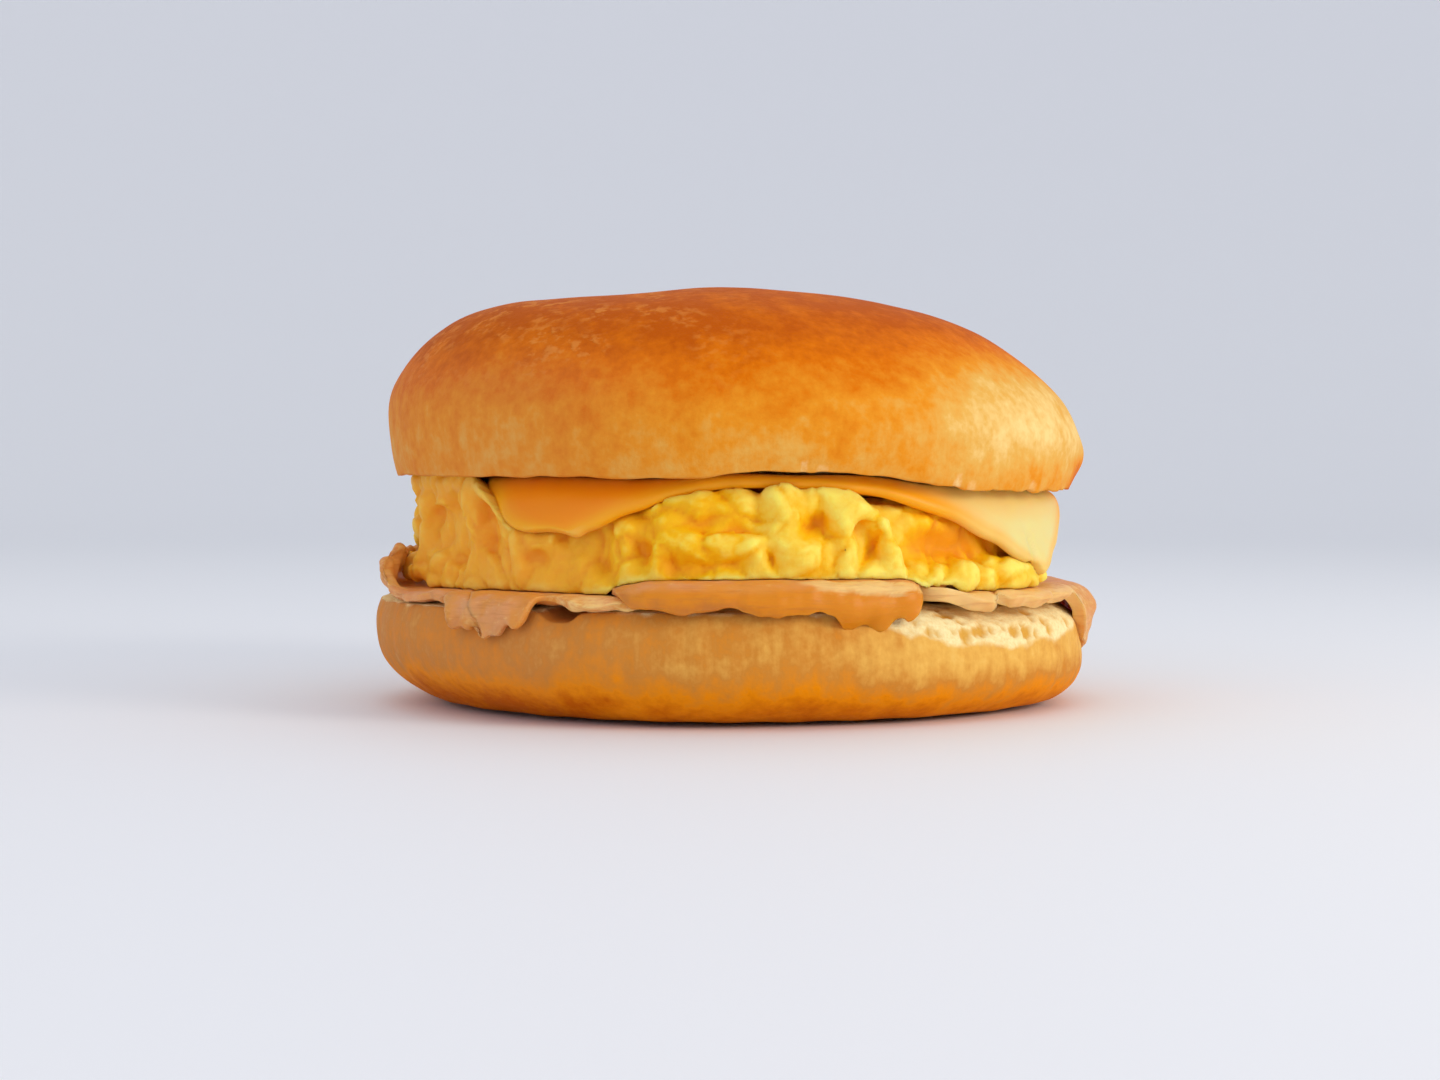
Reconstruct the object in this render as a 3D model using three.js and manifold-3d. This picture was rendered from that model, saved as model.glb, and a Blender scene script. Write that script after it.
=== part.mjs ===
// A soft-roll breakfast sandwich: bottom bun, three thin meat slices, scrambled egg, one draped
// cheese slice and a top bun. Each is a closed solid of its own.
// Millimetres, +Z up. The origin is the middle of the bottom bun's flat base, and -Y is the front.
import * as THREE from "three";
import { mergeVertices } from "three/addons/utils/BufferGeometryUtils.js";
import Module from "manifold-3d";

const wasm = await Module();
wasm.setup();

const { abs, atan2, cos, exp, hypot, max, min, PI, sign, sin, sqrt, tan } = Math;
const { degToRad, lerp } = THREE.MathUtils;

// Driving dimensions
const rollWidth = 105.4; // the roll's outline, left to right
const rollDepth = 102; // the roll's outline, front to back
const bottomThickness = 15.2; // bottom bun, flat base to cut face
const cutHeight = 33; // top bun's cut face above the flat base
const crownThickness = 27.7; // top bun, cut face to crest
const crownTilt = degToRad(1.25); // top bun, right end down
const crownShift = 0.7; // top bun sits this far to the right
const eggShift = 1; // egg and cheese sit this much further to the right
const eggWidth = 97.6;
const eggDepth = 93;
const cheeseSide = 84;
const cheeseThickness = 2;
const cheeseTurn = degToRad(11); // turns two corners to the front left and front right
const cheeseShift = [2.6, 0.4]; // the slice's middle from the egg's, to the right and back
const meatThickness = 1.5;
const meatRoom = 0.45; // room for the meat's waves above the bun, and again below the egg
const gap = 0.35; // left between pieces that touch
const looseGap = 0.6; // left where a slice lies loosely on another or bends round the egg

// Levels that follow from the dimensions above
const lowerMeatLevel = bottomThickness + gap + meatRoom + meatThickness / 2;
const upperMeatLevel = lowerMeatLevel + meatThickness + looseGap;
const eggBase = lowerMeatLevel + meatThickness / 2 + meatRoom;
const cheeseLevel = -gap - cheeseThickness / 2; // below the cut face

// Shaping helpers

// An ellipse's radius at an angle.
function ovalRadius(width, depth, angle) {
  return 1 / hypot(cos(angle) / (width / 2), sin(angle) / (depth / 2));
}

// Slow uneven bulges round an outline: 1 plus a few waves, each with its share, lobes and turn.
function uneven(angle, bulges) {
  return bulges.reduce((sum, { share, lobes, turn }) => sum + share * cos(lobes * angle + turn), 1);
}

// The roll's outline in plan.
const rollBulges = [
  { share: 0.007, lobes: 3, turn: 0.6 },
  { share: 0.005, lobes: 5, turn: 2.1 },
];
const rollRadius = (angle) => ovalRadius(rollWidth, rollDepth, angle) * uneven(angle, rollBulges);

// 0 at the left end of the sandwich, 1 at the right end.
const rightness = (angle) => (1 + cos(angle)) / 2;

// 1 at a place and close to it, falling to 0 a little past a half-width away.
const bump = (offset, halfWidth) => exp(-((offset / halfWidth) ** 4));

// The same round the sandwich, with both angles in degrees.
function near(angle, centre, halfWidth) {
  const offset = angle - degToRad(centre);
  return bump(atan2(sin(offset), cos(offset)), degToRad(halfWidth));
}

// Repeatable random numbers from 0 to 1.
function seededRandom(seed) {
  let state = seed;
  return () => {
    state = (state * 16807) % 2147483647;
    return state / 2147483647;
  };
}

// Equal steps from 0 to 1, both ends included.
function steps(count) {
  return Array.from({ length: count + 1 }, (_, i) => i / count);
}

// A closed drum of radius 1 and height 1 about Z, with rings on its base, side and top.
function drum(baseRadii, sideSteps, topRadii, segments) {
  const profile = [
    ...baseRadii.map((radius) => new THREE.Vector2(radius, 0)),
    ...steps(sideSteps).slice(1, -1).map((height) => new THREE.Vector2(1, height)),
    ...topRadii.map((radius) => new THREE.Vector2(radius, 1)),
  ];
  return new THREE.LatheGeometry(profile, segments).rotateX(PI / 2);
}

// Moves every vertex of a closed geometry by place(x, y, z), then joins the vertices that meet.
function reshape(geometry, place) {
  const tidy = (value) => Math.round(value * 1e6) / 1e6 + 0;
  const position = geometry.getAttribute("position");
  for (let i = 0; i < position.count; i++) {
    const point = [position.getX(i), position.getY(i), position.getZ(i)].map(tidy);
    position.setXYZ(i, ...place(...point));
  }
  geometry.deleteAttribute("normal");
  geometry.deleteAttribute("uv");
  return mergeVertices(geometry);
}

// A geometry as a solid for cutting, moved by a matrix first.
function toSolid(geometry, matrix = new THREE.Matrix4()) {
  const moved = mergeVertices(geometry.clone().applyMatrix4(matrix));
  const vertProperties = moved.getAttribute("position").array;
  const triVerts = new Uint32Array(moved.index.array);
  return new wasm.Manifold(new wasm.Mesh({ numProp: 3, vertProperties, triVerts }));
}

// The largest body of a solid, as a geometry. Scraps that a cut leaves are dropped.
function toGeometry(solid) {
  const bodies = solid.decompose().sort((a, b) => b.volume() - a.volume());
  const mesh = bodies[0].getMesh();
  return new THREE.BufferGeometry()
    .setAttribute("position", new THREE.BufferAttribute(mesh.vertProperties, 3))
    .setIndex(new THREE.BufferAttribute(mesh.triVerts, 1));
}

// Bends a flat sheet over a round edge. Out to edge.start the sheet is flat at edge.level. Past it
// the sheet turns by edge.angle on edge.radius, down where the angle is positive, and then runs on
// straight. lift is the distance from the sheet's middle surface.
function drape(x, y, lift, edge) {
  const angle = atan2(y, x);
  const reach = hypot(x, y);
  const start = edge.start(angle);
  const turn = edge.angle(angle);
  const over = max(0, reach - start);
  const bent = min(over / edge.radius, abs(turn)) * sign(turn);
  const run = over - abs(bent) * edge.radius;
  const out = min(reach, start) + edge.radius * sin(abs(bent)) + run * cos(bent) + lift * sin(bent);
  const fall = edge.radius * (1 - cos(bent)) * sign(bent) + run * sin(bent) - lift * cos(bent);
  return [out * cos(angle), out * sin(angle), edge.level(x, y) - fall];
}

// Bottom bun

const bottom = {
  segments: 60,
  sideSteps: 9,
  topRings: [1, 0.95, 0.9, 0.84, 0.45, 0], // shares of the radius
  widestMiddle: 9.5, // level of the widest ring
  widestRise: 2.4, // how much higher that is at the left end, and lower at the right end
  tuckLeft: 0.2, // share of the radius by which the base draws in
  tuckRight: 0.11,
  tuckTurn: degToRad(-20), // turns the most drawn-in side from the left towards the front
  tuckPower: 2.8,
  rimLeft: 0.025, // share of the radius by which the cut edge draws in
  rimRight: 0.06,
  rimStart: 0.84, // share of the radius where the cut face starts to round off
  rimFall: 0.5, // how far the cut face falls at its edge
  crumbFall: 2.2, // how much further at the front right, where the crumb shows
  crumbCentre: -15,
  crumbHalf: 45,
};

function bottomSide(angle, level) {
  const right = rightness(angle);
  const widest = bottom.widestMiddle - bottom.widestRise * cos(angle);
  const tuckAtBase = lerp(bottom.tuckLeft, bottom.tuckRight, rightness(angle + bottom.tuckTurn));
  const tuck = tuckAtBase * max(0, 1 - level / widest) ** bottom.tuckPower;
  const aboveWidest = max(0, (level - widest) / (bottomThickness - widest));
  const rimIn = lerp(bottom.rimLeft, bottom.rimRight, right) * aboveWidest ** 2;
  return rollRadius(angle) * (1 - tuck - rimIn);
}

function bottomBun() {
  const shape = drum([0, 1], bottom.sideSteps, bottom.topRings, bottom.segments);
  return reshape(shape, (x, y, z) => {
    const angle = atan2(y, x);
    const share = hypot(x, y);
    const rimFall = bottom.rimFall + bottom.crumbFall * near(angle, bottom.crumbCentre, bottom.crumbHalf);
    const rounding = max(0, (share - bottom.rimStart) / (1 - bottom.rimStart)) ** 2 * rimFall;
    const level = z * (bottomThickness - rounding);
    const radius = share * bottomSide(angle, level);
    return [radius * cos(angle), radius * sin(angle), level];
  });
}

// Top bun

const crown = {
  segments: 64,
  sideSteps: 4,
  domeSteps: 15,
  baseRings: [0, 0.6, 1], // shares of the radius
  outlineShare: 0.976, // its outline against the bottom bun's
  widest: 6.4, // level of the widest ring above the cut face
  rimIn: 0.028, // share of the radius by which the cut edge draws in
  // The dome is 1 - share ** full, raised to the power slope: full and steep on the left, and
  // sloping away gently on the right.
  fullLeft: 3.6,
  fullRight: 2.75,
  slopeLeft: 0.52,
  slopeRight: 0.75,
  // A shallow dent runs front to back across the left shoulder.
  dent: { depth: 0.9, x: -19, halfWidth: 10, halfLength: 30 },
  // A torn tab of crust stands out from the right end, just above the cut.
  tab: { out: 1.2, angle: -4, halfAngle: 8, level: 4.2, halfHeight: 2.2 },
};

function crownDome(angle, share) {
  const full = lerp(crown.fullLeft, crown.fullRight, rightness(angle));
  const slope = lerp(crown.slopeLeft, crown.slopeRight, rightness(angle));
  return max(0, 1 - share ** full) ** slope;
}

function topBun() {
  const { dent, tab, widest } = crown;
  const domeRings = steps(crown.domeSteps).map((step) => cos((step * PI) / 2));
  domeRings[crown.domeSteps] = 0;
  const shape = drum(crown.baseRings, crown.sideSteps, domeRings, crown.segments);
  return reshape(shape, (x, y, z) => {
    const angle = atan2(y, x);
    const share = hypot(x, y);
    const outline = rollRadius(angle) * crown.outlineShare;
    let level = z * widest;
    if (z === 1) {
      const dented = bump(x * outline - dent.x, dent.halfWidth) * bump(y * outline, dent.halfLength);
      level += (crownThickness - widest) * crownDome(angle, share) - dent.depth * dented;
    }
    const rim = 1 - crown.rimIn * (1 - z) ** 2;
    const torn = tab.out * near(angle, tab.angle, tab.halfAngle) * bump(level - tab.level, tab.halfHeight);
    const radius = share * (outline * rim + torn);
    return [radius * cos(angle), radius * sin(angle), level];
  });
}

// Cheese slice

// Distance from the egg's middle to its outer side.
const eggBulges = [{ share: 0.01, lobes: 4, turn: 0.5 }];
const eggRadius = (angle) => ovalRadius(eggWidth, eggDepth, angle) * uneven(angle, eggBulges);

// The slice lies on the egg and its four corners hang over the egg's side.
const cheese = {
  flatCells: 6,
  cornerCells: 8,
  flatHalf: 27, // the cells are narrower beyond this, where the slice bends
  cornerIn: 0.069, // share by which the softened corners draw in
  cornerPower: 4, // how closely that keeps to the corners
  bendInset: 4.7, // the bend starts this far inside the egg's side
  bendRadius: 3.4,
  bendAngle: degToRad(68),
};

function cheeseSlice(thickness) {
  const { flatCells, cornerCells, flatHalf } = cheese;
  const half = cheeseSide / 2;
  const cells = flatCells + 2 * cornerCells;
  const spread = (value) => {
    const cell = (abs(value) / half) * (cells / 2);
    const inner = (min(cell, flatCells / 2) / (flatCells / 2)) * flatHalf;
    const outer = (max(0, cell - flatCells / 2) / cornerCells) * (half - flatHalf);
    return sign(value) * (inner + outer);
  };
  const edge = {
    start: (angle) => eggRadius(angle) - cheese.bendInset,
    radius: cheese.bendRadius,
    angle: () => cheese.bendAngle,
    level: () => cheeseLevel,
  };
  const grown = 1 + (thickness - cheeseThickness) / cheeseSide;
  const shape = new THREE.BoxGeometry(cheeseSide, cheeseSide, thickness, cells, cells, 1);
  return reshape(shape, (x, y, z) => {
    const softened = grown * (1 - cheese.cornerIn * abs((x * y) / half ** 2) ** cheese.cornerPower);
    const along = spread(x) * softened;
    const across = spread(y) * softened;
    const flatX = along * cos(cheeseTurn) - across * sin(cheeseTurn) + cheeseShift[0];
    const flatY = along * sin(cheeseTurn) + across * cos(cheeseTurn) + cheeseShift[1];
    return drape(flatX, flatY, z, edge);
  }).translate(eggShift, 0, 0);
}

// Meat slices

// Angles here are in degrees: -90 is the front and 180 the left end. The slice bends inset inside
// the roll's outline, passes that bend by at most about overhang, and turns down by angle.
const meatSlices = {
  // The left end curls up beside the egg, and the front left hangs over the bun's rim.
  meat_slice_left: {
    middle: [-33.5, -4],
    half: [26, 47.5],
    squareness: 2.5,
    level: lowerMeatLevel,
    bendRadius: 2.2,
    inset: (around) => 1.6 + 2.6 * near(around, 180, 26),
    overhang: (around) => 1 + 9 * near(around, -121, 13) + 14 * near(around, 180, 22),
    angle: (around) => 12 + 58 * near(around, -121, 20) - 175 * near(around, 180, 24),
  },
  // The right end hangs well down outside the bun.
  meat_slice_right: {
    middle: [33.5, 4.8],
    half: [29.6, 45],
    squareness: 2.2,
    level: lowerMeatLevel,
    bendRadius: 3.2,
    inset: () => 1.9,
    overhang: (around) => 1 + 30 * near(around, 3, 18),
    angle: (around) => 14 + 82 * near(around, 3, 26),
  },
  // The middle slice lies on both of the others. Its front edge rolls down, and its front right
  // corner hangs over the bun's rim.
  meat_slice_middle: {
    middle: [7.5, -8],
    half: [22.5, 47],
    squareness: 5,
    level: upperMeatLevel,
    bendRadius: 3,
    inset: () => 2.2,
    overhang: (around) => 1.2 + 2.2 * near(around, -90, 22) + 10 * near(around, -63, 8),
    angle: (around) => 10 + 68 * near(around, -80, 30),
  },
};

// The slices share these slow ripples, so that they nest.
const ripple = { rise: 0.18, length: 6.5, crossRise: 0.12, crossLength: 5, crossSlant: 11 };

function rippleLevel(x, y) {
  const along = ripple.rise * sin(x / ripple.length);
  return along + ripple.crossRise * sin(y / ripple.crossLength + x / ripple.crossSlant);
}

const meatSegments = 48;
const meatRings = [0, 0.4, 0.66, 0.8, 0.87, 0.94, 1]; // shares of the slice's half-size
const meatBulges = [
  { share: 0.02, lobes: 5, turn: 1.1 },
  { share: 0.014, lobes: 8, turn: 1 },
];

// Draws a point that lies beyond start back, so that it passes start by less than most.
function holdIn(x, y, start, most) {
  const reach = hypot(x, y);
  const over = max(0, reach - start);
  const share = over > 0 ? (start + most * (1 - exp(-over / most))) / reach : 1;
  return [x * share, y * share];
}

// A thin slice with a squarish wavering outline, draped over the bottom bun's rim.
function meatSlice({ middle, half, squareness, level, bendRadius, inset, overhang, angle }, thickness) {
  const shape = drum(meatRings, 1, [...meatRings].reverse(), meatSegments);
  const grown = (thickness - meatThickness) / 2;
  const edge = {
    start: (around) => rollRadius(around) - inset(around),
    radius: bendRadius,
    angle: (around) => degToRad(angle(around)),
    level: (x, y) => level + rippleLevel(x, y),
  };
  return reshape(shape, (x, y, z) => {
    const around = atan2(y, x);
    const corner = (abs(cos(around)) ** squareness + abs(sin(around)) ** squareness) ** (-1 / squareness);
    const share = hypot(x, y) * corner * uneven(around, meatBulges);
    const flatX = middle[0] + share * cos(around) * (half[0] + grown);
    const flatY = middle[1] + share * sin(around) * (half[1] + grown);
    const aim = atan2(flatY, flatX);
    const [heldX, heldY] = holdIn(flatX, flatY, edge.start(aim), overhang(aim) + grown);
    return drape(heldX, heldY, (z - 0.5) * thickness, edge);
  });
}

// Scrambled egg

const egg = {
  segments: 80,
  sideSteps: 9,
  rings: [0, 0.5, 0.8, 0.94, 1], // shares of the radius
  rounding: 2.6, // of the upper and lower edges
  curdCount: 54,
  curdDepth: 3.4, // how far the tallest curds stand out of the core
  curdLevels: [0.08, 0.92], // shares of the egg's height
  curdRadii: [4.5, 8.5],
  curdRises: [0.55, 1], // shares of curdDepth
  curdSeed: 41,
};

// Curds: rounded lumps spread round the egg's side by the golden angle, each of a seeded size.
const random = seededRandom(egg.curdSeed);
const curds = Array.from({ length: egg.curdCount }, (_, i) => ({
  angle: i * PI * (3 - sqrt(5)),
  level: lerp(...egg.curdLevels, random()),
  radius: lerp(...egg.curdRadii, random()),
  rise: lerp(...egg.curdRises, random()),
}));

// How far the curds stand out of the egg's core.
function curdRelief(angle, level, height) {
  const heights = curds.map((curd) => {
    const turn = atan2(sin(angle - curd.angle), cos(angle - curd.angle));
    const distance = hypot((turn * eggWidth) / 2, (level - curd.level) * height);
    return curd.rise * sqrt(max(0, 1 - (distance / curd.radius) ** 2));
  });
  return egg.curdDepth * max(...heights);
}

function scrambledEgg(cuts) {
  const { rounding } = egg;
  const shape = drum(egg.rings, egg.sideSteps, [...egg.rings].reverse(), egg.segments);
  const blob = reshape(shape, (x, y, z) => {
    const angle = atan2(y, x);
    const share = hypot(x, y);
    const top = cutHeight - tan(crownTilt) * (eggShift + x * eggRadius(angle)) - gap;
    const height = top - eggBase;
    const fromRim = max(0, rounding - min(z, 1 - z) * height);
    const roundedIn = rounding - sqrt(rounding ** 2 - fromRim ** 2);
    const side = eggRadius(angle) - egg.curdDepth + curdRelief(angle, z, height) - roundedIn;
    const middle = crownShift + eggShift;
    return [middle + share * side * cos(angle), share * side * sin(angle), eggBase + z * height];
  });
  return toGeometry(cuts.reduce((left, cut) => left.subtract(cut), toSolid(blob)));
}

// Assembly

function piece(name, geometry, colour, roughness) {
  const material = new THREE.MeshStandardMaterial({ color: colour, roughness, metalness: 0 });
  const mesh = new THREE.Mesh(geometry, material);
  mesh.name = name;
  return mesh;
}

const sandwich = new THREE.Group();

// The top bun and the cheese under it tilt together about the middle of the cut face.
const upper = new THREE.Group();
upper.position.set(crownShift, 0, cutHeight);
upper.rotation.y = crownTilt;
upper.add(piece("top_bun", topBun(), 0xd98a2b, 0.5));
upper.add(piece("cheese_slice", cheeseSlice(cheeseThickness), 0xf2a52c, 0.4));
upper.updateMatrix();

sandwich.add(piece("bottom_bun", bottomBun(), 0xe0aa5a, 0.7));
for (const [name, slice] of Object.entries(meatSlices))
  sandwich.add(piece(name, meatSlice(slice, meatThickness), 0xdfa981, 0.45));

// The egg settles round the cheese and the meat, so both are cut from it with a gap all round.
const eggCuts = [
  toSolid(cheeseSlice(cheeseThickness + 2 * looseGap), upper.matrix),
  ...Object.values(meatSlices).map((slice) => toSolid(meatSlice(slice, meatThickness + 2 * gap))),
];
sandwich.add(piece("scrambled_egg", scrambledEgg(eggCuts), 0xf6c23e, 0.45));
sandwich.add(upper);

export default sandwich;
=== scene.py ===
import math

import bmesh
import bpy
import numpy as np
from mathutils import Matrix, Vector, noise
from mathutils.bvhtree import BVHTree
from mathutils.kdtree import KDTree


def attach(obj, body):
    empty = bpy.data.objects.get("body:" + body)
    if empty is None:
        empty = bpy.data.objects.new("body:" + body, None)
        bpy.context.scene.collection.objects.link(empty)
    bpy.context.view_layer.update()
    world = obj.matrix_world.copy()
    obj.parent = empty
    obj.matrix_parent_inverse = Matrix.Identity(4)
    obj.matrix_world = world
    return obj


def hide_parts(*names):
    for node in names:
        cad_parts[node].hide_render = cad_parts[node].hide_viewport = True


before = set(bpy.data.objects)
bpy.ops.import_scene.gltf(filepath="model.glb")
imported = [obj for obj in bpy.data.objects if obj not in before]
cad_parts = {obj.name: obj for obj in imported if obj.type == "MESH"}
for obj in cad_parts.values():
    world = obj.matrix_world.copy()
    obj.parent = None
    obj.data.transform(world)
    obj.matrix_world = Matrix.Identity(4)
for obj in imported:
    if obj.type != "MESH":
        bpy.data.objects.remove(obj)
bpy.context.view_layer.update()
scene = bpy.context.scene
mm = 0.001  # sizes below are millimetres, and this turns them into Blender's metres

# The sandwich's main sizes, as the solids have them
roll = {
    "width": 105.4,
    "depth": 102,
    "bottomThickness": 15.2,
    "cutHeight": 33,                  # top bun's cut face above the base
    "crownThickness": 27.7,
    "crownTilt": math.radians(1.25),  # right end down
    "crownShift": 0.7,                # top bun's middle, to the right
    "eggShift": 1.7,                  # egg's and cheese's middle, to the right
    "eggWidth": 97.6,
    "eggDepth": 93,
    "eggBase": 17.9,
}

# Camera

cameraSettings = {
    "distance": 340,               # in front of the middle of the base
    "height": 33,
    "side": -1.06,
    "pitchDown": math.radians(1.58),
    "focalPixels": 2251,           # focal length in pixels of the 1440 x 1080 image
    "imageWidth": 1440,
    "sensor": 36,
}


def makeCamera(s):
    lens = bpy.data.cameras.new("camera")
    lens.sensor_width = s["sensor"]
    lens.lens = s["sensor"] * s["focalPixels"] / s["imageWidth"]
    lens.clip_start = 0.01
    camera = bpy.data.objects.new("camera", lens)
    camera.location = (s["side"] * mm, -s["distance"] * mm, s["height"] * mm)
    camera.rotation_euler = (math.pi / 2 - s["pitchDown"], 0, 0)
    scene.collection.objects.link(camera)
    scene.camera = camera


makeCamera(cameraSettings)
print("camera placed")

# Node trees

def plug(tree, socket, value):
    if isinstance(value, Wire):
        tree.links.new(value.socket, socket)
    else:
        socket.default_value = value


# A socket whose arithmetic adds Math nodes
class Wire:
    def __init__(self, tree, socket):
        self.tree = tree
        self.socket = socket

    def math(self, operation, *terms):
        node = self.tree.nodes.new("ShaderNodeMath")
        node.operation = operation
        for slot, term in zip(node.inputs, terms):
            plug(self.tree, slot, term)
        return Wire(self.tree, node.outputs[0])

    def __add__(self, other):
        return self.math("ADD", self, other)

    def __radd__(self, other):
        return self.math("ADD", other, self)

    def __sub__(self, other):
        return self.math("SUBTRACT", self, other)

    def __rsub__(self, other):
        return self.math("SUBTRACT", other, self)

    def __mul__(self, other):
        return self.math("MULTIPLY", self, other)

    def __rmul__(self, other):
        return self.math("MULTIPLY", other, self)


# Adds one node: its settings first, then the values or links of its sockets
def addNode(tree, kind, settings=None, sockets=None, out=0):
    node = tree.nodes.new(kind)
    for name, value in (settings or {}).items():
        if name == "stops":
            setStops(node.color_ramp, value)
        else:
            setattr(node, name, value)
    for name, value in (sockets or {}).items():
        plug(tree, node.inputs[name], value)
    return Wire(tree, node.outputs[out])


def setStops(ramp, stops):
    while len(ramp.elements) < len(stops):
        ramp.elements.new(1)
    for element, (place, tone) in zip(ramp.elements, stops):
        element.position = place
        element.color = tone


# sRGB from 0 to 255 to the linear colour that shaders take
def colour(red, green, blue):
    share = [c / 255 for c in (red, green, blue)]
    linear = [c / 12.92 if c <= 0.04045 else ((c + 0.055) / 1.055) ** 2.4 for c in share]
    return (*linear, 1)


# A material, with short ways to add its nodes
class Finish:
    def __init__(self, name):
        self.material = bpy.data.materials.new(name)
        self.material.use_nodes = True
        self.tree = self.material.node_tree
        self.shader = self.tree.nodes["Principled BSDF"]
        self.place = addNode(self.tree, "ShaderNodeTexCoord", out="Object")

    def add(self, kind, settings=None, sockets=None, out=0):
        return addNode(self.tree, kind, settings, sockets, out)

    # Noise from 0 to 1 with features of about that size; stretch draws it out along an axis
    def noise(self, size, detail=2, roughness=0.5, shift=0, stretch=(1, 1, 1)):
        place = self.add("ShaderNodeMapping", None, {
            "Vector": self.place, "Location": (shift, shift, shift),
            "Scale": [1 / (size * mm * s) for s in stretch]})
        return self.add("ShaderNodeTexNoise", None, {
            "Vector": place, "Scale": 1, "Detail": detail, "Roughness": roughness})

    def mask(self, name):
        return self.add("ShaderNodeAttribute", {"attribute_name": name}, out="Fac")

    def ramp(self, value, stops):
        return self.add("ShaderNodeValToRGB", {"stops": stops}, {"Fac": value})

    def mix(self, factor, first, second):
        settings = {"data_type": "RGBA", "clamp_factor": True}
        return self.add("ShaderNodeMix", settings, {0: factor, 6: first, 7: second}, out=2)

    # 0 below low, 1 above high, smooth between
    def smooth(self, value, low, high):
        return self.add("ShaderNodeMapRange", {"interpolation_type": "SMOOTHSTEP"},
                        {"Value": value, "From Min": low, "From Max": high})

    def bump(self, height, depth, strength):
        return self.add("ShaderNodeBump", None, {
            "Height": height, "Distance": depth * mm, "Strength": strength})

    def set(self, values):
        for name, value in values.items():
            plug(self.tree, self.shader.inputs[name], value)


# Shape helpers

def readPoints(mesh):
    points = np.empty(len(mesh.vertices) * 3)
    mesh.vertices.foreach_get("co", points)
    return points.reshape(-1, 3) / mm


def readNormals(mesh):
    normals = np.empty(len(mesh.vertices) * 3)
    mesh.vertices.foreach_get("normal", normals)
    return normals.reshape(-1, 3)


def writePoints(mesh, points):
    mesh.vertices.foreach_set("co", (points * mm).ravel())
    mesh.update()


def writeMasks(mesh, masks):
    for name, values in masks.items():
        attribute = mesh.attributes.get(name) or mesh.attributes.new(name, "FLOAT", "POINT")
        attribute.data.foreach_set("value", np.asarray(values, dtype=np.float32).ravel())


def readMask(mesh, name):
    values = np.empty(len(mesh.vertices), dtype=np.float32)
    mesh.attributes[name].data.foreach_get("value", values)
    return values.astype(float)


# Smooth noise from about -1 to 1, with features of that size
def field(points, size, seed=0.0):
    return np.array([noise.noise(p) for p in (points / size + seed).tolist()])


# The same as relief, from a pair of height and size
def lumps(points, form, seed=0.0):
    return form[0] * field(points, form[1], seed)


def sheetLumps(x, y, form, seed):
    flat = np.stack([x, y, 0 * x], -1).reshape(-1, 3)
    return lumps(flat, form, seed).reshape(x.shape)


# Places on a round side rolled out flat, scaled along it and up it for marks that run one way
def unrolled(angle, height, along, up):
    sideRadius = 50
    return np.stack([angle * sideRadius * along, height * up, 0 * angle], 1)


def smooth(values, low, high):
    t = np.clip((values - low) / (high - low), 0, 1)
    return t * t * (3 - 2 * t)


# From the first value to the second as the share goes from 0 to 1
def between(values, share):
    return values[0] + (values[1] - values[0]) * share


# 1 where an angle is close to the centre, 0 a little past a half-width away, both given in degrees
def near(angle, centre, half):
    turn = (angle - math.radians(centre) + math.pi) % math.tau - math.pi
    return np.exp(-((turn / math.radians(half)) ** 4))


# A base value with swells at some angles, each an amount, a centre and a half-width in degrees
def around(angle, base, *swells):
    return base + sum(amount * near(angle, centre, half) for amount, centre, half in swells)


def oval(width, depth, angle):
    return 1 / np.hypot(np.cos(angle) / (width / 2), np.sin(angle) / (depth / 2))


def rollRadius(angle):
    uneven = 1 + 0.007 * np.cos(3 * angle + 0.6) + 0.005 * np.cos(5 * angle + 2.1)
    return oval(roll["width"], roll["depth"], angle) * uneven


def eggRadius(angle):
    return oval(roll["eggWidth"], roll["eggDepth"], angle) * (1 + 0.01 * np.cos(4 * angle + 0.5))


# Bends a flat sheet over a round edge: flat as far as start, then turned on a radius, then straight
def drape(x, y, start, turn, radius, level):
    angle, reach = np.arctan2(y, x), np.hypot(x, y)
    over = np.maximum(0, reach - start)
    bent = np.minimum(over / radius, np.abs(turn)) * np.sign(turn)
    run = over - np.abs(bent) * radius
    out = np.minimum(reach, start) + radius * np.sin(np.abs(bent)) + run * np.cos(bent)
    fall = radius * (1 - np.cos(bent)) * np.sign(bent) + run * np.sin(bent)
    return np.stack([out * np.cos(angle), out * np.sin(angle), level - fall], -1)


def newPiece(name, mesh):
    piece = bpy.data.objects.new(name, mesh)
    scene.collection.objects.link(piece)
    return piece


# A piece from rows of points, closed along each row where it wraps round
def gridPiece(name, points, masks, wraps=False):
    rows, columns = points.shape[:2]
    index = np.arange(rows * columns).reshape(rows, columns)
    if wraps:
        index = np.concatenate([index, index[:, :1]], 1)
    quads = np.stack([index[:-1, :-1], index[:-1, 1:], index[1:, 1:], index[1:, :-1]], -1).reshape(-1, 4)
    mesh = bpy.data.meshes.new(name)
    mesh.from_pydata((points * mm).reshape(-1, 3).tolist(), [], quads.tolist())
    writeMasks(mesh, masks)
    shape = bmesh.new()
    shape.from_mesh(mesh)
    bmesh.ops.remove_doubles(shape, verts=shape.verts, dist=0.001 * mm)
    shape.to_mesh(mesh)
    shape.free()
    return newPiece(name, mesh)


# Turns a piece's modifiers into plain mesh
def settle(piece):
    graph = bpy.context.evaluated_depsgraph_get()
    plain = bpy.data.meshes.new_from_object(piece.evaluated_get(graph))
    old = piece.data
    piece.modifiers.clear()
    piece.data = plain
    bpy.data.meshes.remove(old)
    plain.polygons.foreach_set("use_smooth", [True] * len(plain.polygons))


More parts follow.
